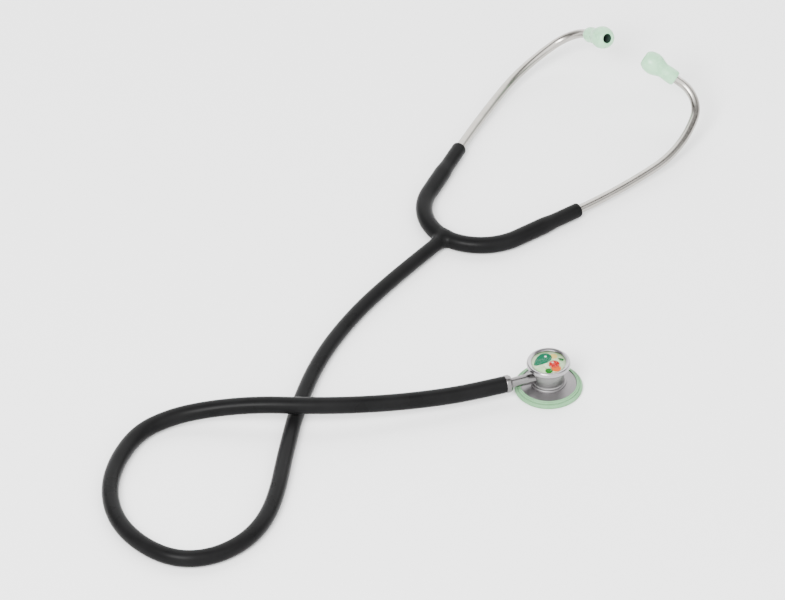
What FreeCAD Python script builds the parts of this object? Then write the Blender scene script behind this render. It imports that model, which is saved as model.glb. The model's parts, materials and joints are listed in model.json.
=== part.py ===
import FreeCAD, Part

import math
import os

from FreeCAD import Rotation, Vector

# A dual-head stethoscope that lies on a table, in millimetres.
# The origin is the centre of the large diaphragm's face. +Z is up, and +X runs
# along the stem from the rubber tube to the chestpiece.

UP = Vector(0, 0, 1)
ALONG_STEM = Vector(1, 0, 0)

# Chestpiece: radii and heights above the table
RING_R = 19.0
RING_INNER_R = 15.8
RING_LIP_R = 16.2
LIP_Z = 1.0
FLANGE_TOP_Z = 1.35
FLANGE_R = 17.1
FACE_R = 15.95
MEMBRANE_T = 0.35
BEAD_R = 10.1
NECK_R = 8.7
HEAD_R = 12.2
HEAD_WINDOW_R = 9.7
HEAD_THREAD_R = 10.8
HEAD_BASE_Z = 16.2
HEAD_SEAT_Z = 17.9
PICTURE_T = 0.2
COVER_T = 0.3
HEAD_TOP_Z = 19.3
CHANNEL_R = 1.6

# Stem between the chestpiece and the tube
STEM_Z = 9.5
STEM_R = 3.1
STEM_THIN_R = 2.75
STEM_BORE_R = 1.5
STEM_END_X = 1.9
COLLAR_R = 5.0
COLLAR_X = -22.0
TUBE_END_X = -25.6
BARB_R = 2.4
BARB_RIDGE_R = 2.75
BARB_LENGTH = 13.0
RUNNING_GAP = 0.03
RING_SEAL_X = -6.5
RING_SEAL_R = 0.3
DETENT_X = -3.2
BALL_R = 1.0

# Free rubber tube, from the yoke round the loop to the stem
TUBE_R = 4.8
TUBE_THIN_R = 3.95
TUBE_TAPER_LENGTH = 270.0
TUBE_LUMEN_R = 2.4
BEND_SHARE = 0.45
TUBE_ROUTE = [
    (-23.2, 129.4, 4.8),
    (-52.2, 111.6, 4.8),
    (-84, 89, 4.2),
    (-112, 62, 4.2),
    (-136, 29, 4.3),
    (-157, -9, 4.5),
    (-173, -40.5, 4.7),
    (-187, -60.5, 4.8),
    (-204, -74, 4.8),
    (-225, -80, 4.9),
    (-244, -75, 4.9),
    (-257.5, -58, 4.9),
    (-264, -34.5, 4.8),
    (-260.5, -9, 4.8),
    (-248.5, 13.5, 4.8),
    (-229, 33.5, 4.9),
    (-208, 39, 6.0),
    (-186, 34.5, 9.6),
    (-162, 24, 14.2),
    (-137, 14, 14.2),
    (-113, 7.5, 13.0),
    (-86, 3.5, 10.8),
    (-60, 1, 9.5),
    (-43, 0, STEM_Z),
    (TUBE_END_X, 0, STEM_Z),
]

# Headset: a moulded yoke whose arms bend forwards, and two steel ear tubes
STUB_LENGTH = 12.0
ARM_R = 4.75
ARM_END_R = 4.15
ARM_TILT = 3.5
ARM_BEND_R = 34.9
ARM_BEND_LENGTH = 43.3
ARM_STRAIGHT = 42.5
ARM_STEP_FROM_END = 26.0
ARM_STEP_LENGTH = 9.0
ARM_LUMEN_R = 1.6
FLEX_AT = 20.0
FLEX_GAP = 0.3
SPRING_OFFSET = 2.8
SPRING_T = 0.7
SPRING_W = 3.6
SPRING_GAP = 0.1
EAR_TUBE_R = 2.5
EAR_TUBE_BORE_R = 1.7
EAR_TUBE_INSERT = 20.0
EAR_TUBE_TWIST = 32.0
EAR_TUBE_BENDS = [(54.5, 400.0), (41.0, 74.0), (24.0, 17.4), (3.5, None)]

# Ear tips, measured from the base of the tip to its rounded end
TIP_LENGTH = 21.5
TIP_COLLAR_R = 4.35
TIP_COLLAR_LENGTH = 7.0
TIP_NECK_R = 3.9
TIP_NECK_AT = 8.6
TIP_BULB_R = 6.25
TIP_BULB_AT = 14.8
TIP_NOSE_R = 4.7
TIP_NOSE_AT = 20.3
TIP_BORE_R = 2.3
TIP_MOUTH_R = 2.9
TIP_BORE_END = 20.9
TUBE_END_IN_TIP = 7.5
BUSH_R = 3.4
BUSH_BORE_R = 2.55
BUSH_BASE = 0.8
BUSH_TOP = 8.0


def fused(solids):
    """One solid from pieces that touch or overlap."""
    whole = solids[0].multiFuse(solids[1:]) if len(solids) > 1 else solids[0]
    return whole.removeSplitter()


def turned(outline, origin=Vector(0, 0, 0), axis=UP):
    """A solid of revolution from (radius, height) points, with the height along the axis."""
    points = [Vector(radius, 0, height) for radius, height in outline]
    face = Part.Face(Part.makePolygon(points + points[:1]))
    solid = face.revolve(Vector(0, 0, 0), UP, 360)
    solid.Placement = FreeCAD.Placement(origin, Rotation(UP, axis))
    return solid


def disc(radius, low, high):
    """A round plate about the chestpiece's axis."""
    return Part.makeCylinder(radius, high - low, Vector(0, 0, low), UP)


def on_stem(outline):
    """A solid of revolution about the stem's axis, from (radius, x) points."""
    return turned(outline, Vector(0, 0, STEM_Z), ALONG_STEM)


def rod(radius, start, direction, length):
    """A plain cylinder."""
    return Part.makeCylinder(radius, length, start, direction)


# ---------------------------------------------------------------- chestpiece

def chest_body():
    """The turned metal body: wide bowl, neck and small head, drilled for sound and stem."""
    body = turned([
        (0, 3.6), (CHANNEL_R, 3.6), (15.0, FLANGE_TOP_Z), (17.2, FLANGE_TOP_Z),
        (17.2, 2.25), (RING_INNER_R, 3.25), (BEAD_R, 4.9), (BEAD_R, 5.4), (9.8, 5.8), (9.2, 6.1),
        (NECK_R, 6.5), (NECK_R, 13.9), (9.1, 14.7), (10.1, 15.5), (11.7, HEAD_BASE_Z),
        (HEAD_THREAD_R, HEAD_BASE_Z), (HEAD_THREAD_R, HEAD_SEAT_Z), (9.0, HEAD_SEAT_Z),
        (CHANNEL_R, HEAD_BASE_Z), (0, HEAD_BASE_Z),
    ])
    channel = rod(CHANNEL_R, Vector(0, 0, 3), UP, 14)
    stem_bore = rod(STEM_R + RUNNING_GAP, Vector(-12, 0, STEM_Z), ALONG_STEM, 12 + STEM_END_X + 0.3)
    detent_hole = rod(BALL_R + 0.05, Vector(DETENT_X, 0, STEM_Z), Vector(0, 1, 0), 10)
    return body.cut(channel).cut(stem_bore).cut(detent_hole)


def non_chill_ring():
    """The soft coloured ring that snaps over the bowl's edge and clamps the large diaphragm."""
    return turned([
        (RING_LIP_R, 0), (18.4, 0), (18.8, 0.2), (RING_R, 0.6), (RING_R, 1.5), (18.8, 1.9),
        (16.1, 3.8), (RING_INNER_R, 3.75), (RING_INNER_R, 3.25), (17.2, 2.25), (17.2, LIP_Z),
        (RING_LIP_R, LIP_Z),
    ])


def large_diaphragm():
    """The listening membrane: a stepped disc whose middle stands level with the ring."""
    return turned([
        (0, 0), (FACE_R, 0), (FACE_R, LIP_Z), (FLANGE_R, LIP_Z), (FLANGE_R, FLANGE_TOP_Z),
        (FACE_R - MEMBRANE_T, FLANGE_TOP_Z), (FACE_R - MEMBRANE_T, MEMBRANE_T), (0, MEMBRANE_T),
    ])


def small_rim():
    """The polished ring screwed on the small head over its clear cover."""
    cover_top = HEAD_SEAT_Z + PICTURE_T + COVER_T
    return turned([
        (HEAD_THREAD_R, HEAD_BASE_Z), (11.9, HEAD_BASE_Z), (HEAD_R, 16.6), (HEAD_R, 18.5),
        (11.9, 19.1), (11.4, HEAD_TOP_Z), (10.5, HEAD_TOP_Z), (10.1, 19.15), (HEAD_WINDOW_R, 18.7),
        (HEAD_WINDOW_R, cover_top), (HEAD_THREAD_R, cover_top),
    ])


def detent_spring():
    """The close-wound spring behind the detent ball, as a sleeve."""
    start = Vector(DETENT_X, STEM_R - 0.3 + 2 * BALL_R, STEM_Z)
    return rod(0.95, start, Vector(0, 1, 0), 1.8).cut(rod(0.6, start, Vector(0, 1, 0), 1.8))


def detent_screw():
    """The grub screw that closes the detent hole, with a hexagon socket."""
    start = Vector(DETENT_X, STEM_R - 0.3 + 2 * BALL_R + 1.8, STEM_Z)
    screw = rod(BALL_R + 0.05, start, Vector(0, 1, 0), 1.4)
    corners = [Rotation(Vector(0, 1, 0), 60 * i).multVec(Vector(0.5, 0, 0)) for i in range(7)]
    socket = Part.Face(Part.makePolygon(corners)).extrude(Vector(0, 1, 0))
    socket.translate(start + Vector(0, 0.6, 0))
    return screw.cut(socket)


def detent_ball():
    """The ball that clicks into the stem's groove."""
    return Part.makeSphere(BALL_R, Vector(DETENT_X, STEM_R - 0.3 + BALL_R, STEM_Z))


# ---------------------------------------------------------------------- stem

def stem():
    """The hollow stem: barbed end, neck, seal groove, detent groove and sound port."""
    barb_x = TUBE_END_X - BARB_LENGTH
    body = on_stem([
        (STEM_BORE_R, barb_x), (BARB_R - 0.2, barb_x), (BARB_RIDGE_R, barb_x + 3.5), (BARB_R, barb_x + 3.6),
        (BARB_R, barb_x + 6.0), (BARB_RIDGE_R, barb_x + 9.5), (BARB_R, barb_x + 9.6), (BARB_R, TUBE_END_X),
        (STEM_THIN_R, TUBE_END_X), (STEM_THIN_R, -20.5), (STEM_R, -12.0), (STEM_R, RING_SEAL_X - 0.4),
        (2.5, RING_SEAL_X - 0.4), (2.5, RING_SEAL_X + 0.4), (STEM_R, RING_SEAL_X + 0.4),
        (STEM_R, STEM_END_X), (0, STEM_END_X), (0, STEM_END_X - 1.0), (STEM_BORE_R, STEM_END_X - 1.0),
    ])
    groove = Part.makeTorus(STEM_R - 0.3 + BALL_R, BALL_R + 0.05, Vector(DETENT_X, 0, STEM_Z), ALONG_STEM)
    port = rod(STEM_BORE_R, Vector(-0.7, 0, STEM_Z), -UP, STEM_R + 1)
    return body.cut(groove).cut(port)


def stem_collar():
    """The ribbed collar that the rubber tube butts against."""
    return on_stem([
        (STEM_THIN_R, TUBE_END_X), (COLLAR_R - 0.3, TUBE_END_X), (COLLAR_R, TUBE_END_X + 0.3),
        (COLLAR_R, COLLAR_X - 1.0), (COLLAR_R - 0.5, COLLAR_X - 0.4), (COLLAR_R - 0.9, COLLAR_X),
        (STEM_THIN_R, COLLAR_X),
    ])


def stem_seal():
    """The sealing ring in the stem's groove."""
    seal_centre = Vector(RING_SEAL_X, 0, STEM_Z)
    return Part.makeTorus(STEM_R - RING_SEAL_R, RING_SEAL_R, seal_centre, ALONG_STEM)


# ----------------------------------------------------------------- main tube

def round_bend(start, heading, centre, angle, radius):
    """A round bend: a disc turned about the bend's centre."""
    face = Part.Face(Part.Wire(Part.makeCircle(radius, start, heading)))
    return face.revolve(centre, (start - centre).cross(heading), angle)


def route_bends():
    """Each bend of the tube's route: its two ends, its centre, its turn and its radius."""
    points = [Vector(*point) for point in TUBE_ROUTE]
    bends = []
    for before, corner, after in zip(points, points[1:], points[2:]):
        arriving = (corner - before).normalize()
        leaving = (after - corner).normalize()
        turn = arriving.getAngle(leaving)
        trim = BEND_SHARE * min(before.distanceToPoint(corner), corner.distanceToPoint(after))
        radius = trim / math.tan(turn / 2)
        start = corner - arriving * trim
        end = corner + leaving * trim
        inward = (leaving - arriving * arriving.dot(leaving)).normalize()
        bends.append((start, end, start + inward * radius, turn, radius))
    return bends


def tube_radius(distance):
    """The tube is slimmer where it comes out of the yoke."""
    share = min(1.0, distance / TUBE_TAPER_LENGTH)
    return TUBE_THIN_R + (TUBE_R - TUBE_THIN_R) * share


def frustum(start, end, start_r, end_r):
    """A straight length of tube between two points."""
    along = end - start
    if abs(start_r - end_r) < 1e-6:
        return Part.makeCylinder(start_r, along.Length, start, along)
    return Part.makeCone(start_r, end_r, along.Length, start, along)


def routed_tube(radius_at):
    """Straight lengths and round bends along the route, the section given by radius_at."""
    here = Vector(*TUBE_ROUTE[0])
    distance = 0.0
    radius = radius_at(0.0)
    solids = []
    for start, end, centre, turn, bend_r in route_bends():
        distance += here.distanceToPoint(start)
        next_radius = radius_at(distance)
        solids.append(frustum(here, start, radius, next_radius))
        radius = next_radius
        heading = (start - here).normalize()
        solids.append(round_bend(start, heading, centre, math.degrees(turn), radius))
        distance += turn * bend_r
        here = end
    last = Vector(*TUBE_ROUTE[-1])
    solids.append(frustum(here, last, radius, radius))
    distance += here.distanceToPoint(last)
    return fused(solids), distance


def main_tube():
    """The hollow rubber tube, printed with its length and its bend radii."""
    outside, length = routed_tube(tube_radius)
    lumen, length = routed_tube(lambda distance: TUBE_LUMEN_R)
    tube = outside.cut(lumen)
    radii = [round(bend[4], 1) for bend in route_bends()]
    thin = math.pi * (TUBE_THIN_R ** 2 + TUBE_THIN_R * TUBE_R + TUBE_R ** 2) / 3 * TUBE_TAPER_LENGTH
    plain = math.pi * TUBE_R ** 2 * (length - TUBE_TAPER_LENGTH)
    expected = thin + plain - math.pi * TUBE_LUMEN_R ** 2 * length
    print("tube length", round(length, 1), "bend radii", radii)
    print("tube volume", round(tube.Volume), "from section and length", round(expected), tube.isValid())
    return tube


# ------------------------------------------------------------------- headset

ROUTE_START = Vector(*TUBE_ROUTE[0])
FORWARD = (ROUTE_START - Vector(*TUBE_ROUTE[1])).normalize()
LEFTWARD = UP.cross(FORWARD)
YOKE = ROUTE_START + FORWARD * STUB_LENGTH
SIDES = {"left": 1, "right": -1}


class Walk:
    """A point that moves along straight and round legs and can leave solids behind it."""

    def __init__(self, point, heading, inward):
        self.point = point
        self.heading = heading
        self.inward = inward

    def leg(self, length, bend_r, section):
        """Move by one leg. Returns the section swept along it; the section is made at the start."""
        if bend_r is None:
            solid = section.extrude(self.heading * length)
            self.point = self.point + self.heading * length
            return solid
        centre = self.point + self.inward * bend_r
        axis = self.heading.cross(self.inward)
        angle = math.degrees(length / bend_r)
        solid = section.revolve(centre, axis, angle)
        turn = Rotation(axis, angle)
        self.point = centre + turn.multVec(self.point - centre)
        self.heading = turn.multVec(self.heading)
        self.inward = turn.multVec(self.inward)
        return solid

    def disc(self, radius):
        """A round section at the walk's point."""
        return Part.Face(Part.Wire(Part.makeCircle(radius, self.point, self.heading)))

    def strip(self, offset, thickness, width):
        """A rectangular section beside the walk's point, on its inner side."""
        middle = self.point + self.inward * offset
        across = self.inward * (thickness / 2)
        upright = self.heading.cross(self.inward) * (width / 2)
        corners = [middle + across + upright, middle - across + upright,
                   middle - across - upright, middle + across - upright]
        return Part.Face(Part.makePolygon(corners + corners[:1]))


def arm_walk(side):
    """The start of one arm, at the yoke."""
    sign = SIDES[side]
    tilt = Rotation(UP, -sign * ARM_TILT)
    heading = tilt.multVec(LEFTWARD * sign)
    inward = tilt.multVec(FORWARD)
    return Walk(YOKE, heading, inward)


def flex_point(side):
    """Where an arm of the yoke flexes, with the arm's walk left there."""
    walk = arm_walk(side)
    walk.leg(FLEX_AT, ARM_BEND_R, walk.disc(1))
    return walk


def arm_end(side):
    """The open end of an arm, where the ear tube comes out."""
    walk = flex_point(side)
    walk.leg(ARM_BEND_LENGTH - FLEX_AT, ARM_BEND_R, walk.disc(1))
    walk.leg(ARM_STRAIGHT, None, walk.disc(1))
    return walk


def arm_hollow(side, make_section):
    """A hollow or strip all the way along one arm as far as the ear tube."""
    walk = arm_walk(side)
    solids = [walk.leg(ARM_BEND_LENGTH, ARM_BEND_R, make_section(walk))]
    straight = ARM_STRAIGHT - EAR_TUBE_INSERT
    solids.append(walk.leg(straight, None, make_section(walk)))
    return fused(solids)


def spring_half(side, gap):
    """Half of the U-shaped leaf spring, or of its pocket if a gap is given."""
    walk = arm_walk(side)
    size = (SPRING_OFFSET, SPRING_T + 2 * gap, SPRING_W + 2 * gap)
    solids = [walk.leg(ARM_BEND_LENGTH, ARM_BEND_R, walk.strip(*size))]
    straight = ARM_STRAIGHT - ARM_STEP_FROM_END - 1.0 + gap
    solids.append(walk.leg(straight, None, walk.strip(*size)))
    return fused(solids)


def leaf_spring():
    """The spring steel strip inside the yoke that presses the ear tubes together."""
    return fused([spring_half(side, 0.0) for side in SIDES])


def yoke_hub():
    """The middle of the moulded yoke, from the tube's end to where each arm flexes."""
    solids = [frustum(ROUTE_START, YOKE, TUBE_THIN_R, TUBE_THIN_R + 0.5), Part.makeSphere(ARM_R, YOKE)]
    for side in SIDES:
        walk = arm_walk(side)
        solids.append(walk.leg(FLEX_AT, ARM_BEND_R, walk.disc(ARM_R)))
        solids.append(Part.makeSphere(ARM_R, walk.point))
    hub = fused(solids).cut(rod(ARM_LUMEN_R, ROUTE_START, FORWARD, STUB_LENGTH))
    for side in SIDES:
        hub = hub.cut(arm_hollow(side, lambda walk: walk.disc(ARM_LUMEN_R)))
        hub = hub.cut(spring_half(side, SPRING_GAP))
    return hub


def arm_sleeve(side):
    """One arm of the moulded yoke beyond its flex, which grips the ear tube."""
    walk = flex_point(side)
    hinge = walk.point
    solids = [walk.leg(ARM_BEND_LENGTH - FLEX_AT, ARM_BEND_R, walk.disc(ARM_R))]
    wide = ARM_STRAIGHT - ARM_STEP_FROM_END
    solids.append(walk.leg(wide, None, walk.disc(ARM_R)))
    step_end = walk.point + walk.heading * ARM_STEP_LENGTH
    solids.append(frustum(walk.point, step_end, ARM_R, ARM_END_R))
    grip = ARM_STEP_FROM_END - ARM_STEP_LENGTH
    end = rod(ARM_END_R, step_end, walk.heading, grip)
    solids.append(end.makeFillet(1.2, [end.Edges[0]]))
    sleeve = fused(solids)
    sleeve = sleeve.cut(Part.makeSphere(ARM_R + FLEX_GAP, hinge))
    sleeve = sleeve.cut(arm_hollow(side, lambda walk: walk.disc(ARM_LUMEN_R)))
    sleeve = sleeve.cut(spring_half(side, SPRING_GAP))
    mouth = arm_end(side)
    bore_start = mouth.point - mouth.heading * EAR_TUBE_INSERT
    return sleeve.cut(rod(EAR_TUBE_R + RUNNING_GAP, bore_start, mouth.heading, EAR_TUBE_INSERT + 1))


def ear_tube_walk(side, at_tip=False):
    """The start of an ear tube at the arm's mouth, or its end at the base of the tip."""
    walk = arm_end(side)
    lift = Rotation(walk.heading, SIDES[side] * -EAR_TUBE_TWIST)
    walk.inward = lift.multVec(walk.inward)
    if at_tip:
        for length, bend_r in EAR_TUBE_BENDS:
            walk.leg(length, bend_r, walk.disc(1))
    return walk


def bent_rod(side, radius):
    """A rod along the ear tube's whole line, from inside the arm to inside the tip."""
    walk = ear_tube_walk(side)
    solids = [rod(radius, walk.point - walk.heading * EAR_TUBE_INSERT, walk.heading, EAR_TUBE_INSERT)]
    for length, bend_r in EAR_TUBE_BENDS:
        solids.append(walk.leg(length, bend_r, walk.disc(radius)))
    solids.append(walk.leg(TUBE_END_IN_TIP, None, walk.disc(radius)))
    return fused(solids)


def ear_tube(side):
    """The bent steel tube between an arm and an ear tip."""
    return bent_rod(side, EAR_TUBE_R).cut(bent_rod(side, EAR_TUBE_BORE_R))


def tip_turned(side, outline):
    """A solid of revolution about an ear tip's axis, from (radius, distance) points."""
    walk = ear_tube_walk(side, at_tip=True)
    return turned(outline, walk.point, walk.heading)


def tip_bush(side):
    """The threaded bush moulded into an ear tip."""
    return tip_turned(side, [
        (BUSH_BORE_R, BUSH_BASE), (BUSH_R, BUSH_BASE), (BUSH_R, BUSH_TOP), (BUSH_BORE_R, BUSH_TOP),
    ])


def ear_tip(side):
    """The soft ear tip: collar, shallow neck and round bulb with the sound bore through it."""
    walk = ear_tube_walk(side, at_tip=True)
    lower = [(0, 0), (3.8, 0), (TIP_COLLAR_R, 0.7), (TIP_COLLAR_R, TIP_COLLAR_LENGTH),
             (TIP_NECK_R, TIP_NECK_AT - 0.6), (TIP_NECK_R, TIP_NECK_AT)]
    edges = [Part.makeLine(Vector(a, 0, b), Vector(c, 0, d)) for (a, b), (c, d) in zip(lower, lower[1:])]
    neck = Vector(TIP_NECK_R, 0, TIP_NECK_AT)
    crown = Vector(TIP_BULB_R, 0, TIP_BULB_AT)
    nose = Vector(TIP_NOSE_R, 0, TIP_NOSE_AT)
    lip = Vector(TIP_MOUTH_R + 0.3, 0, TIP_LENGTH)
    top = Vector(0, 0, TIP_LENGTH)
    edges.append(Part.Arc(neck, crown, nose).toShape())
    edges.append(Part.Arc(nose, Vector(4.0, 0, 21.1), lip).toShape())
    edges.append(Part.makeLine(lip, top))
    edges.append(Part.makeLine(top, Vector(0, 0, 0)))
    tip = Part.Face(Part.Wire(edges)).revolve(Vector(0, 0, 0), UP, 360)
    entry = rod(EAR_TUBE_R + 0.3, Vector(0, 0, 0), UP, BUSH_BASE)
    seat = rod(BUSH_R, Vector(0, 0, BUSH_BASE), UP, BUSH_TOP - BUSH_BASE)
    bore = rod(TIP_BORE_R, Vector(0, 0, BUSH_TOP), UP, TIP_LENGTH)
    mouth_depth = TIP_LENGTH - TIP_BORE_END
    mouth = Part.makeCone(TIP_BORE_R, TIP_MOUTH_R, mouth_depth, Vector(0, 0, TIP_BORE_END), UP)
    tip = tip.cut(entry).cut(seat).cut(bore).cut(mouth)
    tip.Placement = FreeCAD.Placement(walk.point, Rotation(UP, walk.heading))
    return tip


def all_nodes():
    """Every piece of the stethoscope by name."""
    picture_top = HEAD_SEAT_Z + PICTURE_T
    nodes = {
        "chest_body": chest_body(),
        "non_chill_ring": non_chill_ring(),
        "large_diaphragm": large_diaphragm(),
        "small_rim": small_rim(),
        "picture_disc": disc(HEAD_THREAD_R, HEAD_SEAT_Z, picture_top),
        "small_diaphragm": disc(HEAD_THREAD_R, picture_top, picture_top + COVER_T),
        "detent_ball": detent_ball(),
        "detent_spring": detent_spring(),
        "detent_screw": detent_screw(),
        "stem": stem(),
        "stem_collar": stem_collar(),
        "stem_seal": stem_seal(),
        "main_tube": main_tube(),
        "yoke_hub": yoke_hub(),
        "leaf_spring": leaf_spring(),
    }
    for side in SIDES:
        nodes[side + "_arm_sleeve"] = arm_sleeve(side)
        nodes[side + "_ear_tube"] = ear_tube(side)
        nodes[side + "_tip_bush"] = tip_bush(side)
        nodes[side + "_ear_tip"] = ear_tip(side)
    return nodes


def print_axes():
    """Print the points and directions that the joints and mounts use."""
    for side in SIDES:
        flex = flex_point(side)
        mouth = arm_end(side)
        tip = ear_tube_walk(side, at_tip=True)
        end = tip.point + tip.heading * TIP_LENGTH
        places = [
            ("flex", flex.point, flex.heading),
            ("arm end", mouth.point, mouth.heading),
            ("tip base", tip.point, tip.heading),
            ("tip end", end, tip.heading),
        ]
        for name, point, heading in places:
            print(side, name, [round(v, 3) for v in point], [round(v, 5) for v in heading])


os.makedirs("parts", exist_ok=True)
for name, shape in all_nodes().items():
    shape.exportStep("parts/" + name + ".step")
    print(name, "solids", len(shape.Solids), "valid", shape.isValid(), "volume", round(shape.Volume, 1))
print_axes()
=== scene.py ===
import json
import math

import bmesh
import bpy
import numpy as np
from mathutils import Matrix, Vector


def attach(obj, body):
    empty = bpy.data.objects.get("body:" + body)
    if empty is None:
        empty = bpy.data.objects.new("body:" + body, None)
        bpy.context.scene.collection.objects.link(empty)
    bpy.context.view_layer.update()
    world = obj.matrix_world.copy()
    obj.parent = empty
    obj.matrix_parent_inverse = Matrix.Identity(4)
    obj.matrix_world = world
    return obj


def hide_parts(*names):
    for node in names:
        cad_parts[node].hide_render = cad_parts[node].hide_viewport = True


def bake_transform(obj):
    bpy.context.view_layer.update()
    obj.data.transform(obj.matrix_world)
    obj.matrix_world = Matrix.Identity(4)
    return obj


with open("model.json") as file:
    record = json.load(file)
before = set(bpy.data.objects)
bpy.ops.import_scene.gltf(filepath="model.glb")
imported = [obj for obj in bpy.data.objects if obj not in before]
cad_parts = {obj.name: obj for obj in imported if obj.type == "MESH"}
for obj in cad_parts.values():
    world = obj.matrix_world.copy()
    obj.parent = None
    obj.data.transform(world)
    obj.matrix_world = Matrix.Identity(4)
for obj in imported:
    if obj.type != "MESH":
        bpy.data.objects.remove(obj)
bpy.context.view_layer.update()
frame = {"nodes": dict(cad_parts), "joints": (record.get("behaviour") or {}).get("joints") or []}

MM = 0.001
UP = Vector((0, 0, 1))
JOINTS = {joint["name"]: joint for joint in frame["joints"]}
SIDES = {"left": 1, "right": -1}

# The rubber tube's route, from the yoke round the loop to the stem, as in the CAD model
TUBE_DIAMETER = 0.0096
TUBE_RADIUS = TUBE_DIAMETER / 2
TUBE_THIN_RADIUS = 0.00395
TUBE_TAPER_LENGTH = 0.27
TUBE_IN_YOKE = 0.004
TUBE_ROUTE = [
    (-0.0232, 0.1294, 0.0048),
    (-0.0522, 0.1116, 0.0048),
    (-0.084, 0.089, 0.0042),
    (-0.112, 0.062, 0.0042),
    (-0.136, 0.029, 0.0043),
    (-0.157, -0.009, 0.0045),
    (-0.173, -0.0405, 0.0047),
    (-0.187, -0.0605, 0.0048),
    (-0.204, -0.074, 0.0048),
    (-0.225, -0.08, 0.0049),
    (-0.244, -0.075, 0.0049),
    (-0.2575, -0.058, 0.0049),
    (-0.264, -0.0345, 0.0048),
    (-0.2605, -0.009, 0.0048),
    (-0.2485, 0.0135, 0.0048),
    (-0.229, 0.0335, 0.0049),
    (-0.208, 0.039, 0.006),
    (-0.186, 0.0345, 0.0096),
    (-0.162, 0.024, 0.0142),
    (-0.137, 0.014, 0.0142),
    (-0.113, 0.0075, 0.013),
    (-0.086, 0.0035, 0.0108),
    (-0.06, 0.001, 0.0095),
    (-0.043, 0.0, 0.0095),
    (-0.0256, 0.0, 0.0095),
]

# Camera: a long lens that looks down at the middle of the picture
VIEW_TARGET = Vector((-0.0563, 0.0998, 0.0))
VIEW_WIDTH = 0.4361
VIEW_DISTANCE = 14.0
VIEW_ELEVATION = math.radians(40.0)
VIEW_HEADING = math.radians(-19.4)
SENSOR_WIDTH = 36

# Studio light: a pale world and one large soft key light
STUDIO_STRENGTH = 4.6
KEY_DISTANCE = 3.0
KEY_SIZE = 1.3
KEY_POWER = 170
KEY_ELEVATION = math.radians(45)
KEY_HEADING = math.radians(-42)
# Brightness from the back wall (0) over the ceiling to the front wall (1), and from left (0) to right (1)
CEILING_STOPS = [(0.0, 0.9), (0.34, 1.0), (0.42, 0.12), (0.53, 0.12), (0.60, 0.9), (1.0, 0.7)]
SIDE_STOPS = [(0.0, 0.15), (0.12, 0.25), (0.3, 1.0), (0.8, 1.0), (0.93, 0.35), (1.0, 0.3)]

# Headset, with the same bends as the CAD model
YOKE_START = Vector(TUBE_ROUTE[0])
FORWARD = (YOKE_START - Vector(TUBE_ROUTE[1])).normalized()
LEFTWARD = UP.cross(FORWARD)
YOKE = YOKE_START + FORWARD * 12 * MM
ARM_TILT = math.radians(3.5)
ARM_BEND_R = 34.9 * MM
ARM_BEND_LENGTH = 43.3 * MM
ARM_STRAIGHT = 42.5 * MM
ARM_R = 4.75 * MM
ARM_END_R = 4.15 * MM
LOWEST_RUBBER = 0.05 * MM
STEP_FROM_END = 26 * MM
STEP_BLEND = 10 * MM
LINE_STEP = 0.5 * MM
YOKE_VOXEL = 0.55 * MM
EAR_TUBE_R = 2.5 * MM
EAR_TUBE_INSERT = 12 * MM
EAR_TUBE_TWIST = math.radians(32)
EAR_TUBE_BENDS = [(54.5 * MM, 400 * MM), (41 * MM, 74 * MM), (24 * MM, 17.4 * MM), (3.5 * MM, None)]
EAR_TUBE_IN_TIP = 6 * MM
SPRING_GAP = 27 * MM
SPRING_INSET = 2.8 * MM
SPRING_HALF_THICKNESS = 0.35 * MM
SPRING_HALF_HEIGHT = 1.8 * MM

# Chestpiece: the stem's height, and the picture on the small head in millimetres
STEM_Z = 9.5 * MM
PICTURE_LOW = 17.86
PICTURE_TOP = 17.98
PRINT_STEP = 0.055
PRINT_DEPTH = 0.02
PRINT_SCALE = 1.06


# ------------------------------------------------------------ camera and tube

def add_aimed(name, data, heading, elevation, distance):
    """Puts a camera or a light at a distance from the middle of the picture, aimed at it."""
    away = Vector((
        math.sin(heading) * math.cos(elevation),
        -math.cos(heading) * math.cos(elevation),
        math.sin(elevation),
    ))
    holder = bpy.data.objects.new(name, data)
    holder.location = VIEW_TARGET + away * distance
    holder.rotation_mode = "QUATERNION"
    holder.rotation_quaternion = (-away).to_track_quat("-Z", "Y")
    bpy.context.scene.collection.objects.link(holder)
    return holder


def add_camera():
    """The camera looks along the photograph's direction."""
    camera = bpy.data.cameras.new("camera")
    camera.sensor_width = SENSOR_WIDTH
    camera.lens = SENSOR_WIDTH * VIEW_DISTANCE / VIEW_WIDTH
    camera.clip_start = 1
    camera.clip_end = 100
    bpy.context.scene.camera = add_aimed("camera", camera, VIEW_HEADING, VIEW_ELEVATION, VIEW_DISTANCE)


def add_main_tube(material):
    """The free rubber tube: one smooth curve, slimmer towards the yoke."""
    curve = bpy.data.curves.new("rubber_tube", "CURVE")
    curve.dimensions = "3D"
    curve.bevel_depth = TUBE_RADIUS
    curve.bevel_resolution = 14
    curve.resolution_u = 16
    curve.use_fill_caps = True
    spline = curve.splines.new("NURBS")
    spline.points.add(len(TUBE_ROUTE) - 1)
    distance = 0.0
    route = [tuple(YOKE_START + FORWARD * TUBE_IN_YOKE)] + TUBE_ROUTE[1:]
    before = Vector(route[0])
    for point, place in zip(spline.points, route):
        distance += (Vector(place) - before).length
        before = Vector(place)
        share = min(1.0, distance / TUBE_TAPER_LENGTH)
        point.co = (*place, 1.0)
        point.radius = (TUBE_THIN_RADIUS + (TUBE_RADIUS - TUBE_THIN_RADIUS) * share) / TUBE_RADIUS
    spline.order_u = 3
    spline.use_endpoint_u = True
    curve.materials.append(material)
    tube = bpy.data.objects.new("rubber_tube", curve)
    bpy.context.scene.collection.objects.link(tube)
    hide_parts("main_tube")
    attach(tube, "root")


# ------------------------------------------------------------------ materials

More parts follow.
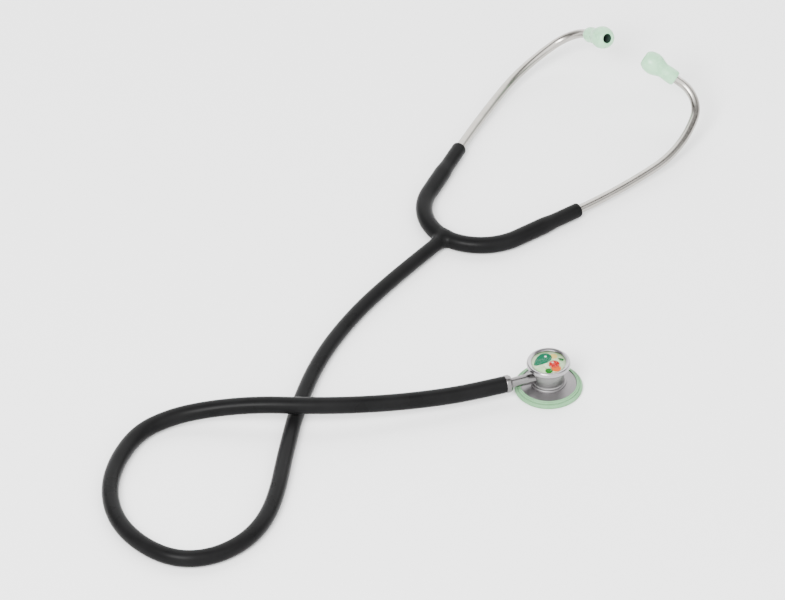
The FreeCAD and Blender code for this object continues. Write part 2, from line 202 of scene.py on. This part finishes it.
class Surface:
    """A Principled material with short ways to add procedural detail to it."""

    def __init__(self, name, color, roughness, metallic=0.0):
        self.material = bpy.data.materials.new(name)
        self.material.use_nodes = True
        self.tree = self.material.node_tree
        self.shader = self.tree.nodes["Principled BSDF"]
        self.set("Base Color", (*color, 1))
        self.set("Roughness", roughness)
        self.set("Metallic", metallic)
        self.normal = None

    def set(self, socket, value):
        """Sets one of the shader's own sockets."""
        self.shader.inputs[socket].default_value = value

    def node(self, kind, **values):
        """Adds a node and sets its properties or inputs by name."""
        node = self.tree.nodes.new("ShaderNode" + kind)
        for key, value in values.items():
            if hasattr(node, key):
                setattr(node, key, value)
            else:
                node.inputs[key].default_value = value
        return node

    def noise(self, scale, detail=2.0, stretch=(1, 1, 1), space="Object"):
        """A noise value over the surface, finer along the axes with a larger stretch."""
        place = self.node("TexCoord")
        mapping = self.node("Mapping", Scale=stretch)
        noise = self.node("TexNoise", Scale=scale, Detail=detail)
        self.tree.links.new(place.outputs[space], mapping.inputs["Vector"])
        self.tree.links.new(mapping.outputs["Vector"], noise.inputs["Vector"])
        return noise.outputs["Fac"]

    def spread(self, value, low, high, start=0.3, end=0.7):
        """Maps a value from start..end to low..high."""
        limits = {"From Min": start, "From Max": end, "To Min": low, "To Max": high}
        mapped = self.node("MapRange", **limits)
        self.tree.links.new(value, mapped.inputs["Value"])
        return mapped.outputs["Result"]

    def vary_roughness(self, value, low, high):
        """Roughness follows a value between two limits."""
        self.tree.links.new(self.spread(value, low, high), self.shader.inputs["Roughness"])

    def vary_color(self, value, first, second):
        """Base colour goes between two colours as a value changes."""
        ramp = self.node("ValToRGB")
        ramp.color_ramp.elements[0].position = 0.3
        ramp.color_ramp.elements[0].color = (*first, 1)
        ramp.color_ramp.elements[1].position = 0.7
        ramp.color_ramp.elements[1].color = (*second, 1)
        self.tree.links.new(value, ramp.inputs["Fac"])
        self.tree.links.new(ramp.outputs["Color"], self.shader.inputs["Base Color"])

    def bump(self, value, strength, distance):
        """Adds a bump, on top of any bump that is there already."""
        bump = self.node("Bump", Strength=strength, Distance=distance)
        self.tree.links.new(value, bump.inputs["Height"])
        if self.normal:
            self.tree.links.new(self.normal, bump.inputs["Normal"])
        self.normal = bump.outputs["Normal"]
        self.tree.links.new(self.normal, self.shader.inputs["Normal"])


def black_rubber():
    """Satin black rubber with a faint moulded grain."""
    surface = Surface("black_rubber", (0.003, 0.003, 0.003), 0.34)
    broad = surface.noise(60, 4)
    fine = surface.noise(2600, 3)
    surface.vary_color(broad, (0.0050, 0.0050, 0.0051), (0.0070, 0.0070, 0.0072))
    surface.vary_roughness(broad, 0.26, 0.33)
    surface.bump(fine, 0.12, 0.00005)
    surface.set("Specular IOR Level", 0.035)
    return surface.material


def drawn_steel():
    """Satin steel of the ear tubes, with fine streaks along each tube."""
    surface = Surface("drawn_steel", (0.34, 0.32, 0.295), 0.2, 1.0)
    streaks = surface.noise(1, 4, (9, 60, 1), "UV")
    broad = surface.noise(90, 3)
    surface.vary_color(broad, (0.31, 0.295, 0.27), (0.37, 0.35, 0.325))
    surface.vary_roughness(streaks, 0.16, 0.26)
    surface.bump(streaks, 0.10, 0.00003)
    return surface.material


def turned_steel(name, color, low, high):
    """Steel with the fine rings that a lathe leaves."""
    surface = Surface(name, color, low, 1.0)
    rings = surface.noise(1, 5, (2, 2400, 1), "UV")
    broad = surface.noise(120, 3)
    surface.vary_color(broad, color, tuple(0.85 * c for c in color))
    surface.vary_roughness(rings, low, high)
    surface.bump(rings, 0.15, 0.00002)
    return surface.material


def mint_ring_material():
    """The soft green ring: satin, with fine turned grooves."""
    surface = Surface("mint_ring", (0.12, 0.25, 0.14), 0.4)
    rings = surface.noise(1, 3, (1, 1300, 1), "UV")
    broad = surface.noise(150, 3)
    surface.vary_color(broad, (0.12, 0.26, 0.13), (0.15, 0.31, 0.165))
    surface.vary_roughness(rings, 0.34, 0.46)
    surface.bump(rings, 0.25, 0.00003)
    surface.set("Specular IOR Level", 0.1)
    return surface.material


def mint_silicone():
    """Translucent silicone of the ear tips."""
    surface = Surface("mint_silicone", (0.22, 0.50, 0.28), 0.33)
    broad = surface.noise(200, 3)
    fine = surface.noise(2500, 2)
    surface.vary_color(broad, (0.25, 0.51, 0.30), (0.30, 0.58, 0.35))
    surface.vary_roughness(broad, 0.24, 0.32)
    surface.bump(fine, 0.08, 0.00004)
    surface.set("Subsurface Weight", 0.08)
    surface.set("Subsurface Radius", (0.6, 1.0, 0.7))
    surface.set("Subsurface Scale", 0.003)
    surface.set("Specular IOR Level", 0.45)
    return surface.material


def plain_detail(name, color, roughness, metallic=0.0, gloss=0.5):
    """A small piece's material: its colour with a fine grain."""
    surface = Surface(name, color, roughness, metallic)
    grain = surface.noise(900, 3)
    surface.vary_color(grain, color, tuple(0.86 * c for c in color))
    surface.vary_roughness(grain, roughness * 0.85, min(1.0, roughness * 1.15))
    surface.bump(grain, 0.08, 0.00003)
    surface.set("Specular IOR Level", gloss)
    return surface.material


def clear_cover_material():
    """The clear plastic over the small head's picture."""
    surface = Surface("clear_cover", (0.02, 0.02, 0.02), 0.08)
    surface.vary_roughness(surface.noise(300, 2), 0.05, 0.12)
    surface.set("Alpha", 0.08)
    return surface.material


# --------------------------------------------------------------- mesh builders

def mesh_object(name, vertices, faces, material, uvs=None):
    """A smooth-shaded mesh object. uvs gives a pair for each corner of each face."""
    mesh = bpy.data.meshes.new(name)
    mesh.from_pydata([tuple(v) for v in vertices], [], faces)
    if uvs:
        layer = mesh.uv_layers.new(name="UVMap")
        for loop, uv in zip(layer.data, uvs):
            loop.uv = uv
    mesh.materials.append(material)
    mesh.shade_smooth()
    piece = bpy.data.objects.new(name, mesh)
    bpy.context.scene.collection.objects.link(piece)
    return piece


def grid_skin(name, rings, material, lengths, closed=False):
    """A skin over rings of points, closed round each ring. lengths give each ring's UV height."""
    count = len(rings[0])
    vertices = [point for ring in rings for point in ring]
    faces = []
    uvs = []
    rows = len(rings) if closed else len(rings) - 1
    for i in range(rows):
        j = (i + 1) % len(rings)
        for k in range(count):
            m = (k + 1) % count
            faces.append((i * count + k, i * count + m, j * count + m, j * count + k))
            low, high = lengths[i], lengths[i + 1]
            left, right = k / count, (k + 1) / count
            uvs += [(left, low), (right, low), (right, high), (left, high)]
    return mesh_object(name, vertices, faces, material, uvs)


def rounded_outline(outline, steps=4):
    """An outline in metres from (radius, height, rounding) corners in millimetres."""
    points = []
    count = len(outline)
    for i, (radius, height, rounding) in enumerate(outline):
        corner = Vector((radius, height))
        if rounding == 0:
            points.append(corner)
            continue
        before = Vector(outline[i - 1][:2]) - corner
        after = Vector(outline[(i + 1) % count][:2]) - corner
        reach = min(rounding, before.length * 0.45, after.length * 0.45)
        start = corner + before.normalized() * reach
        end = corner + after.normalized() * reach
        for k in range(steps + 1):
            t = k / steps
            points.append(start * (1 - t) ** 2 + corner * 2 * t * (1 - t) + end * t ** 2)
    return [point * MM for point in points]


def lathe(name, outline, material, origin=Vector((0, 0, 0)), axis=UP, segments=128):
    """A closed solid of revolution. Corners on the axis close its ends."""
    points = rounded_outline(outline)
    turn = UP.rotation_difference(axis).to_matrix()
    closed = all(point.x > 1e-7 for point in points)
    rings = []
    lengths = [0.0]
    for i, point in enumerate(points):
        ring = []
        for k in range(segments):
            angle = 2 * math.pi * k / segments
            local = Vector((point.x * math.cos(angle), point.x * math.sin(angle), point.y))
            ring.append(origin + turn @ local)
        rings.append(ring)
        lengths.append(lengths[-1] + (points[(i + 1) % len(points)] - point).length)
    piece = grid_skin(name, rings, material, lengths, closed)
    tidy_mesh(piece)
    return piece


def tidy_mesh(piece):
    """Merges doubled points, drops flat faces of no area and turns all faces outwards."""
    work = bmesh.new()
    work.from_mesh(piece.data)
    bmesh.ops.remove_doubles(work, verts=work.verts, dist=1e-7)
    bmesh.ops.dissolve_degenerate(work, edges=work.edges, dist=1e-8)
    bmesh.ops.recalc_face_normals(work, faces=work.faces)
    work.to_mesh(piece.data)
    work.free()


def placed(piece, body, slot, *nodes):
    """Puts a piece on its body and hides the CAD nodes that it stands for. The slot argument is not used."""
    if nodes:
        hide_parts(*nodes)
    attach(piece, body)
    return piece


# ------------------------------------------------------------------- headset

def walked(point, heading, inward, legs, step=LINE_STEP):
    """Points along straight and round legs: lists of places and headings, and the last inward direction."""
    places = [point.copy()]
    headings = [heading.copy()]
    for length, bend_r in legs:
        count = max(2, round(length / step))
        for _ in range(count):
            advance = length / count
            if bend_r is None:
                point = point + heading * advance
            else:
                turn = Matrix.Rotation(advance / bend_r, 3, heading.cross(inward))
                centre = point + inward * bend_r
                point = centre + turn @ (point - centre)
                heading = turn @ heading
                inward = turn @ inward
            places.append(point.copy())
            headings.append(heading.copy())
    return places, headings, inward


def arm_line(side):
    """The middle line of one arm of the yoke."""
    sign = SIDES[side]
    tilt = Matrix.Rotation(-sign * ARM_TILT, 3, UP)
    heading = tilt @ (LEFTWARD * sign)
    inward = tilt @ FORWARD
    return walked(YOKE, heading, inward, [(ARM_BEND_LENGTH, ARM_BEND_R), (ARM_STRAIGHT, None)])


def ear_tube_line(side):
    """The middle line of an ear tube, from inside the arm to the base of the ear tip."""
    places, headings, inward = arm_line(side)
    lift = Matrix.Rotation(-SIDES[side] * EAR_TUBE_TWIST, 3, headings[-1])
    start = places[-1] - headings[-1] * EAR_TUBE_INSERT
    legs = [(EAR_TUBE_INSERT, None)] + EAR_TUBE_BENDS + [(EAR_TUBE_IN_TIP, None)]
    return walked(start, headings[-1], lift @ inward, legs, 1 * MM)


def skin_along(name, places, headings, radius, material, segments=48):
    """A round rod along a line."""
    across = headings[0].orthogonal().normalized()
    rings = []
    lengths = [0.0]
    for i, (place, heading) in enumerate(zip(places, headings)):
        across = (across - heading * across.dot(heading)).normalized()
        beside = heading.cross(across)
        ring = []
        for k in range(segments):
            angle = 2 * math.pi * k / segments
            ring.append(place + (across * math.cos(angle) + beside * math.sin(angle)) * radius)
        rings.append(ring)
        if i:
            lengths.append(lengths[-1] + (place - places[i - 1]).length / MM / 100)
    lengths.append(lengths[-1])
    piece = grid_skin(name, rings, material, lengths)
    work = bmesh.new()
    work.from_mesh(piece.data)
    bmesh.ops.holes_fill(work, edges=[edge for edge in work.edges if edge.is_boundary])
    bmesh.ops.recalc_face_normals(work, faces=work.faces)
    work.to_mesh(piece.data)
    work.free()
    return piece


def add_ear_tube(side, material):
    """The bent steel tube of one side."""
    places, headings, _ = ear_tube_line(side)
    tube = skin_along(side + "_steel_tube", places, headings, EAR_TUBE_R, material)
    placed(tube, side + "_ear", "ear_tube_steel", side + "_ear_tube")


TIP_OUTLINE = [
    (2.7, 0.6, 0), (2.7, 0, 0.3), (3.9, 0, 0.9), (4.45, 1.6, 1.2), (4.4, 5.4, 1.6), (4.2, 7.6, 1.8),
    (4.55, 9.5, 2.0), (5.6, 11.8, 2.4), (6.3, 14.1, 2.3), (6.3, 16.6, 2.2), (5.6, 19.2, 2.0),
    (4.4, 20.9, 1.4), (3.3, 21.5, 0.6), (2.75, 21.2, 0.4), (2.6, 20.2, 0.4), (2.6, 9.0, 0),
    (0, 9.0, 0), (0, 0.6, 0),
]


def add_ear_tip(side, silicone, dark):
    """The soft ear tip of one side, with the sound bore in its end darkened by a sleeve of painted shade."""
    joint = JOINTS[side + "_tip_turn"]
    axis = Vector(joint["axis"]).normalized()
    base = Vector(joint["pos_m"])
    tip = lathe(side + "_soft_tip", TIP_OUTLINE, silicone, base, axis, 96)
    placed(tip, side + "_tip", "tip_silicone", side + "_ear_tip")
    # A dark sleeve inside the bore: painted shade for the dim inside of the sound bore.
    bore_shade_sleeve = lathe(side + "_tip_bore_lining", [
        (0, 9.2, 0), (2.5, 9.2, 0), (2.5, 20.5, 0), (2.64, 20.7, 0), (2.7, 9.1, 0), (0, 9.1, 0),
    ], dark, base, axis, 64)
    placed(bore_shade_sleeve, side + "_tip", "tip_silicone")


def line_distance(points, places, radii):
    """Each point's distance to a skin of changing radius round a line."""
    line = np.array([tuple(place) for place in places])
    best = np.full(len(points), 1e9)
    for start in range(0, len(line), 8):
        stop = min(start + 9, len(line))
        gaps = np.linalg.norm(points[:, None] - line[None, start:stop], axis=2) - radii[None, start:stop]
        best = np.minimum(best, gaps.min(axis=1))
    return best


def arm_radii(count):
    """The arm's radius along its line: full over the leaf spring, slimmer where it grips the ear tube."""
    along = np.linspace(0, ARM_BEND_LENGTH + ARM_STRAIGHT, count)
    step_start = ARM_BEND_LENGTH + ARM_STRAIGHT - STEP_FROM_END
    share = np.clip((along - step_start) / STEP_BLEND, 0, 1)
    share = share * share * (3 - 2 * share)
    return ARM_R + (ARM_END_R - ARM_R) * share


def smooth_least(first, second, blend):
    """The smaller of two distances, with a fillet where they are nearly equal."""
    share = np.clip(0.5 + 0.5 * (second - first) / blend, 0, 1)
    return second + (first - second) * share - blend * share * (1 - share)


def yoke_distance(points):
    """Distance to the yoke's surface: two arms and the stub to the tube, with fillets between them."""
    arms = []
    for side in SIDES:
        places, headings, _ = arm_line(side)
        radii = arm_radii(len(places))
        end = np.array(places[-1])
        beyond = (points - end) @ np.array(headings[-1])
        arm = line_distance(points, places, radii)
        arms.append(-smooth_least(-arm, -beyond, 1.6 * MM))
    stub_places = [YOKE_START + (YOKE - YOKE_START) * (i / 40) for i in range(41)]
    stub_radii = np.linspace(TUBE_THIN_RADIUS - 0.1 * MM, TUBE_THIN_RADIUS + 0.45 * MM, 41)
    stub = line_distance(points, stub_places, stub_radii)
    behind = (points - np.array(YOKE_START)) @ -np.array(FORWARD)
    stub = np.maximum(stub, behind)
    return smooth_least(np.minimum(*arms), stub, 2.4 * MM)


def relaxed(points, passes=6):
    """Moves points onto the yoke's surface along the distance's slope."""
    small = 0.02 * MM
    for _ in range(passes):
        gap = yoke_distance(points)
        slope = np.empty_like(points)
        for axis in range(3):
            offset = np.zeros(3)
            offset[axis] = small
            slope[:, axis] = (yoke_distance(points + offset) - gap) / small
        slope /= np.maximum(np.linalg.norm(slope, axis=1), 0.2)[:, None]
        points = points - slope * gap[:, None]
    return points


def yoke_mesh():
    """The whole moulding as one even mesh, laid on the smooth outline of the yoke."""
    work = bmesh.new()
    for side in SIDES:
        places, _, _ = arm_line(side)
        radii = arm_radii(len(places))
        for place, radius in list(zip(places, radii))[::4]:
            move = Matrix.Translation(place)
            bmesh.ops.create_icosphere(work, subdivisions=2, radius=radius * 1.02, matrix=move)
    for i in range(7):
        place = YOKE_START + (YOKE - YOKE_START) * (i / 6)
        move = Matrix.Translation(place)
        bmesh.ops.create_icosphere(work, subdivisions=2, radius=TUBE_THIN_RADIUS, matrix=move)
    mesh = bpy.data.meshes.new("yoke_blank")
    work.to_mesh(mesh)
    work.free()
    blank = bpy.data.objects.new("yoke_blank", mesh)
    bpy.context.scene.collection.objects.link(blank)
    remesh = blank.modifiers.new("even", "REMESH")
    remesh.mode = "VOXEL"
    remesh.voxel_size = YOKE_VOXEL
    even = bpy.data.meshes.new_from_object(blank.evaluated_get(bpy.context.evaluated_depsgraph_get()))
    bpy.data.objects.remove(blank)
    count = len(even.vertices)
    points = np.empty(count * 3)
    even.vertices.foreach_get("co", points)
    points = relaxed(points.reshape(count, 3))
    points[:, 2] = np.maximum(points[:, 2], LOWEST_RUBBER)
    even.vertices.foreach_set("co", points.ravel())
    return even


def flex_with_arm(piece, side):
    """Bakes a piece's placement into its mesh; the piece is not bent with its arm."""
    _, headings, _ = arm_line(side)
    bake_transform(piece)


def add_yoke(material):
    """The moulded yoke in two halves that meet in its middle plane."""
    whole = yoke_mesh()
    for side, sign in SIDES.items():
        mesh = whole.copy()
        work = bmesh.new()
        work.from_mesh(mesh)
        geometry = work.verts[:] + work.edges[:] + work.faces[:]
        outward = LEFTWARD * -sign
        bmesh.ops.bisect_plane(work, geom=geometry, plane_co=YOKE, plane_no=outward, clear_outer=True)
        work.to_mesh(mesh)
        work.free()
        mesh.materials.clear()
        mesh.materials.append(material)
        mesh.shade_smooth()
        half = bpy.data.objects.new(side + "_yoke_half", mesh)
        bpy.context.scene.collection.objects.link(half)
        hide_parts(side + "_arm_sleeve", *(["yoke_hub"] if side == "left" else []))
        flex_with_arm(half, side)


def add_leaf_spring(material):
    """The spring strip inside the yoke, in two halves."""
    for side in SIDES:
        places, headings, _ = arm_line(side)
        count = round((ARM_BEND_LENGTH + ARM_STRAIGHT - SPRING_GAP) / LINE_STEP)
        rings = []
        for place, heading in list(zip(places, headings))[:count:2]:
            inward = UP.cross(heading) * -SIDES[side]
            middle = place + inward * SPRING_INSET
            rings.append([
                middle + inward * (SPRING_HALF_THICKNESS * a) + UP * (SPRING_HALF_HEIGHT * b)
                for a, b in ((1, 1), (-1, 1), (-1, -1), (1, -1))
            ])
        lengths = [i * 0.01 for i in range(len(rings) + 1)]
        strip = grid_skin(side + "_spring_strip", rings, material, lengths)
        if side == "left":
            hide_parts("leaf_spring")
        flex_with_arm(strip, side)


# ----------------------------------------------------------------- chestpiece

def add_chest_body(satin, bright):
    """The turned body: a satin bowl with a bead, and a brighter neck that flares to the small head."""
    bowl = lathe("turned_bowl", [
        (0, 3.6, 0), (1.6, 3.6, 0), (15.0, 1.35, 0.1), (17.2, 1.35, 0.2), (17.2, 2.25, 0.1),
        (15.8, 3.25, 0.1), (15.2, 3.5, 0.5), (10.75, 4.65, 0.6), (10.15, 4.75, 0.15), (10.2, 5.35, 0.3),
        (9.75, 5.7, 0.25), (9.1, 5.75, 0.1), (0, 5.75, 0),
    ], satin, segments=192)
    neck = lathe("turned_neck", [
        (0, 5.7, 0), (9.0, 5.7, 0.1), (8.85, 6.1, 0.3), (8.7, 6.6, 0.4), (8.7, 13.7, 0.6), (9.1, 14.7, 0.6),
        (10.2, 15.6, 0.6), (11.6, 16.2, 0.15), (10.8, 16.3, 0), (10.8, 17.85, 0), (0, 17.85, 0),
    ], bright, segments=192)
    placed(bowl, "chestpiece", "satin_steel", "chest_body")
    placed(neck, "chestpiece", "satin_steel")


def add_mint_ring(material):
    """The soft ring round the large head, with fine steps turned in its slope."""
    outline = [
        (16.2, 0, 0.1), (18.4, 0, 0.4), (18.95, 0.5, 0.4), (19.0, 1.45, 0.35), (18.75, 2.05, 0.3),
        (18.15, 2.5, 0.3), (17.75, 2.5, 0.1), (17.6, 2.15, 0.08), (17.4, 2.2, 0.08), (17.35, 2.8, 0.1),
        (16.75, 3.25, 0.08), (16.65, 3.1, 0.05), (16.5, 3.15, 0.05), (16.45, 3.5, 0.08), (16.2, 3.75, 0.25),
        (15.8, 3.7, 0.12), (15.8, 3.25, 0), (17.2, 2.25, 0), (17.2, 1.0, 0), (16.2, 1.0, 0.1),
    ]
    ring = lathe("soft_ring", outline, material, segments=192)
    placed(ring, "chestpiece", "mint_ring", "non_chill_ring")


def add_small_rim(material):
    """The polished ring of the small head, crowned outside and bevelled inside."""
    rim = lathe("polished_ring", [
        (10.8, 16.25, 0), (11.75, 16.25, 0.3), (12.2, 16.8, 0.5), (12.2, 17.9, 1.0), (11.85, 18.95, 0.8),
        (11.3, 19.3, 0.5), (10.8, 19.2, 0.4), (9.7, 18.6, 0.08), (9.65, 18.4, 0), (10.8, 18.4, 0),
    ], material, segments=192)
    placed(rim, "chestpiece", "polished_rim", "small_rim")


def add_large_diaphragm(material):
    """The stepped listening membrane on the underside."""
    membrane = lathe("listening_membrane", [
        (0, 0, 0), (15.5, 0, 0), (15.95, 0.15, 0.2), (15.95, 1.0, 0.1), (17.1, 1.0, 0), (17.1, 1.35, 0),
        (15.6, 1.35, 0.1), (15.6, 0.5, 0.1), (15.3, 0.35, 0), (0, 0.35, 0),
    ], material, segments=160)
    placed(membrane, "chestpiece", "membrane", "large_diaphragm")


def add_stem(steel, collar_steel):
    """The stem from the neck to the tube, and its collar."""
    along = Vector((1, 0, 0))
    origin = Vector((0, 0, STEM_Z))
    stem = lathe("stem_shaft", [
        (1.5, -38.6, 0), (2.3, -38.6, 0.2), (2.75, -35.1, 0.1), (2.4, -35.0, 0), (2.4, -25.6, 0),
        (2.7, -25.6, 0), (2.75, -21.6, 0.1), (2.85, -20.5, 0.3), (3.1, -13.5, 0.6), (3.1, 1.9, 0.2),
        (1.5, 1.9, 0.1), (1.5, 0.9, 0),
    ], steel, origin, along, 96)
    placed(stem, "root", "satin_steel", "stem")
    collar = lathe("stem_ferrule", [
        (2.8, -25.55, 0), (4.75, -25.55, 0.25), (5.0, -25.2, 0.25), (5.0, -23.1, 0.25), (4.6, -22.75, 0.2),
        (4.55, -22.3, 0.2), (4.1, -22.0, 0.3), (2.8, -22.0, 0),
    ], collar_steel, origin, along, 96)
    placed(collar, "root", "satin_steel", "stem_collar")


def add_patch(name, outline, level, material):
    """A thin printed patch on the small head's picture, from an outline in millimetres. Level 0 is lowest."""
    count = len(outline)
    low = PICTURE_TOP - PRINT_DEPTH
    high = PICTURE_TOP + PRINT_STEP * (level + 1)
    turn = Matrix.Rotation(VIEW_HEADING, 3, UP)
    middle = tuple(sum(values) / count for values in zip(*outline))
    vertices = [
        turn @ Vector((x * PRINT_SCALE, y * PRINT_SCALE, z)) * MM
        for z in (low, high) for x, y in [*outline, middle]
    ]
    faces = []
    top = count + 1
    for i in range(count):
        j = (i + 1) % count
        faces += [(i, j, top + j, top + i), (i, j, count), (top + i, top + j, top + count)]
    patch = mesh_object(name, vertices, faces, material)
    patch.data.shade_flat()
    tidy_mesh(patch)
    placed(patch, "chestpiece", "picture")


def dot(x, y, radius):
    """The outline of a round printed dot."""
    angles = [i * math.pi / 24 for i in range(48)]
    return [(x + radius * math.cos(angle), y + radius * math.sin(angle)) for angle in angles]


def leaf(x, y, length, width, angle):
    """The outline of a plain leaf, pointed at its back end and round in front."""
    points = []
    for i in range(48):
        t = i * math.pi / 24
        along = length / 2 * math.cos(t)
        across = width / 2 * math.sin(t) * (0.62 + 0.38 * math.cos(t)) ** 0.7
        points.append((x + along * math.cos(angle) - across * math.sin(angle),
                       y + along * math.sin(angle) + across * math.cos(angle)))
    return points


def add_picture():
    """A plain leaf-and-dots picture on the small head, under its clear cover."""
    ground = Surface("picture_ground", (0.60, 0.80, 0.52), 0.5)
    cloud = ground.noise(260, 2)
    ground.vary_color(cloud, (0.34, 0.56, 0.27), (0.56, 0.66, 0.47))
    ground.set("Specular IOR Level", 0.04)
    disc = lathe("picture_disc_print", [
        (0, PICTURE_LOW, 0), (10.75, PICTURE_LOW, 0), (10.75, PICTURE_TOP, 0), (0, PICTURE_TOP, 0),
    ], ground.material)
    placed(disc, "chestpiece", "picture", "picture_disc")
    teal, green = (0.001, 0.115, 0.055), (0.010, 0.13, 0.012)
    red, orange = (0.42, 0.010, 0.004), (0.62, 0.10, 0.010)
    prints = [
        ("pale_dot", 0, dot(2.6, 5.2, 2.0), (0.55, 0.42, 0.12)),
        ("stalk_left", 0, leaf(-1.6, -4.2, 6.2, 0.5, -0.95), (0.30, 0.07, 0.03)),
        ("stalk_right", 1, leaf(0.6, -2.9, 5.4, 0.5, -1.1), (0.30, 0.07, 0.03)),
        ("teal_leaf", 1, leaf(-3.4, 2.2, 12.0, 9.4, 0.85), teal),
        ("leaf_glint", 2, dot(-1.6, 4.9, 0.6), (0.80, 0.84, 0.80)),
        ("orange_dot", 0, dot(3.9, -4.4, 2.6), orange),
        ("red_dot", 1, dot(3.0, -1.0, 2.8), red),
        ("red_glint", 2, dot(2.1, 0.2, 0.55), (0.80, 0.70, 0.66)),
        ("green_dot_low", 1, dot(0.2, -6.6, 2.0), green),
        ("green_leaf_small", 0, leaf(6.4, 2.8, 3.4, 2.6, -0.6), (0.012, 0.10, 0.022)),
    ]
    for name, level, outline, color in prints:
        add_patch(name, outline, level, plain_detail(name + "_ink", color, 0.45, gloss=0.04))


def add_clear_cover(material):
    """The clear cover of the small head."""
    cover = lathe("clear_window", [(0, 18.2, 0), (10.75, 18.2, 0), (10.75, 18.4, 0), (0, 18.4, 0)], material)
    placed(cover, "chestpiece", "clear_cover", "small_diaphragm")


def finish_node(node, material):
    """Gives a hidden CAD piece that keeps its own shape its finish."""
    materials = frame["nodes"][node].data.materials
    materials.clear()
    materials.append(material)


# ------------------------------------------------------------ floor and light

def add_floor():
    """A plain pale floor."""
    surface = Surface("pale_floor", (0.90, 0.90, 0.90), 0.9)
    size = 60.0
    corners = [(-size, -size, 0), (size, -size, 0), (size, size, 0), (-size, size, 0)]
    floor = mesh_object("floor", [Vector(c) for c in corners], [(0, 1, 2, 3)], surface.material)
    floor.location.z = -0.0001


def ramp_of(tree, value, stops):
    """A grey level that follows a value through (place, level) stops."""
    ramp = tree.nodes.new("ShaderNodeValToRGB")
    for place, _ in stops[1:-1]:
        ramp.color_ramp.elements.new(place)
    for element, (place, level) in zip(ramp.color_ramp.elements, stops):
        element.position = place
        element.color = (level, level, level, 1)
    tree.links.new(value, ramp.inputs["Fac"])
    return ramp.outputs["Color"]


def combined(tree, operation, first, second):
    """A Math node over two values, each a socket or a number."""
    node = tree.nodes.new("ShaderNodeMath")
    node.operation = operation
    for socket, value in zip(node.inputs, (first, second)):
        if isinstance(value, (int, float)):
            socket.default_value = value
        else:
            tree.links.new(value, socket)
    return node.outputs["Value"]


def add_key_light():
    """A large soft light in front, on the left."""
    light = bpy.data.lights.new("key", "AREA")
    light.size = KEY_SIZE
    light.energy = KEY_POWER
    add_aimed("key", light, KEY_HEADING, KEY_ELEVATION, KEY_DISTANCE)


def add_studio():
    """A soft white studio: bright in front and behind, dim at the sides, with an unlit strip of ceiling."""
    world = bpy.data.worlds.new("studio")
    world.use_nodes = True
    bpy.context.scene.world = world
    tree = world.node_tree
    background = tree.nodes["Background"]
    background.inputs["Strength"].default_value = STUDIO_STRENGTH
    direction = tree.nodes.new("ShaderNodeTexCoord")
    turn = tree.nodes.new("ShaderNodeMapping")
    turn.inputs["Rotation"].default_value = (0, 0, -VIEW_HEADING)
    split = tree.nodes.new("ShaderNodeSeparateXYZ")
    tree.links.new(direction.outputs["Generated"], turn.inputs["Vector"])
    tree.links.new(turn.outputs["Vector"], split.inputs["Vector"])
    slope = combined(tree, "ARCTAN2", split.outputs["Z"], split.outputs["Y"])
    over = ramp_of(tree, combined(tree, "DIVIDE", slope, math.pi), CEILING_STOPS)
    across = combined(tree, "MULTIPLY_ADD", split.outputs["X"], 0.5)
    across.node.inputs[2].default_value = 0.5
    beside = ramp_of(tree, across, SIDE_STOPS)
    tree.links.new(combined(tree, "MULTIPLY", over, beside), background.inputs["Color"])


# ---------------------------------------------------------------------- scene

add_camera()
rubber = black_rubber()
satin_steel = turned_steel("satin_steel", (0.19, 0.182, 0.186), 0.38, 0.50)
steel = turned_steel("turned_steel", (0.25, 0.245, 0.245), 0.26, 0.38)
stem_steel = turned_steel("stem_steel", (0.165, 0.160, 0.160), 0.20, 0.28)
polished = turned_steel("polished_steel", (0.33, 0.322, 0.33), 0.15, 0.22)
small_steel = plain_detail("small_steel", (0.50, 0.50, 0.51), 0.35, 1.0)
silicone = mint_silicone()
drawn = drawn_steel()
# Dark green-grey for the sleeve of painted shade inside the ear tips' bores.
painted_bore_shade = plain_detail("painted_bore_shade", (0.018, 0.034, 0.026), 0.6, gloss=0.05)
add_main_tube(rubber)
add_yoke(rubber)
add_leaf_spring(small_steel)
for side in SIDES:
    add_ear_tube(side, drawn)
    add_ear_tip(side, silicone, painted_bore_shade)
add_chest_body(satin_steel, steel)
add_mint_ring(mint_ring_material())
add_small_rim(polished)
add_large_diaphragm(plain_detail("membrane", (0.30, 0.31, 0.30), 0.28))
add_stem(stem_steel, stem_steel)
add_picture()
add_clear_cover(clear_cover_material())
for node in ("detent_ball", "detent_spring", "detent_screw"):
    finish_node(node, small_steel)
finish_node("stem_seal", plain_detail("seal_rubber", (0.03, 0.03, 0.03), 0.6))
brass = plain_detail("turned_brass", (0.72, 0.55, 0.28), 0.3, 1.0)
for side in SIDES:
    finish_node(side + "_tip_bush", brass)
add_floor()
add_studio()
add_key_light()
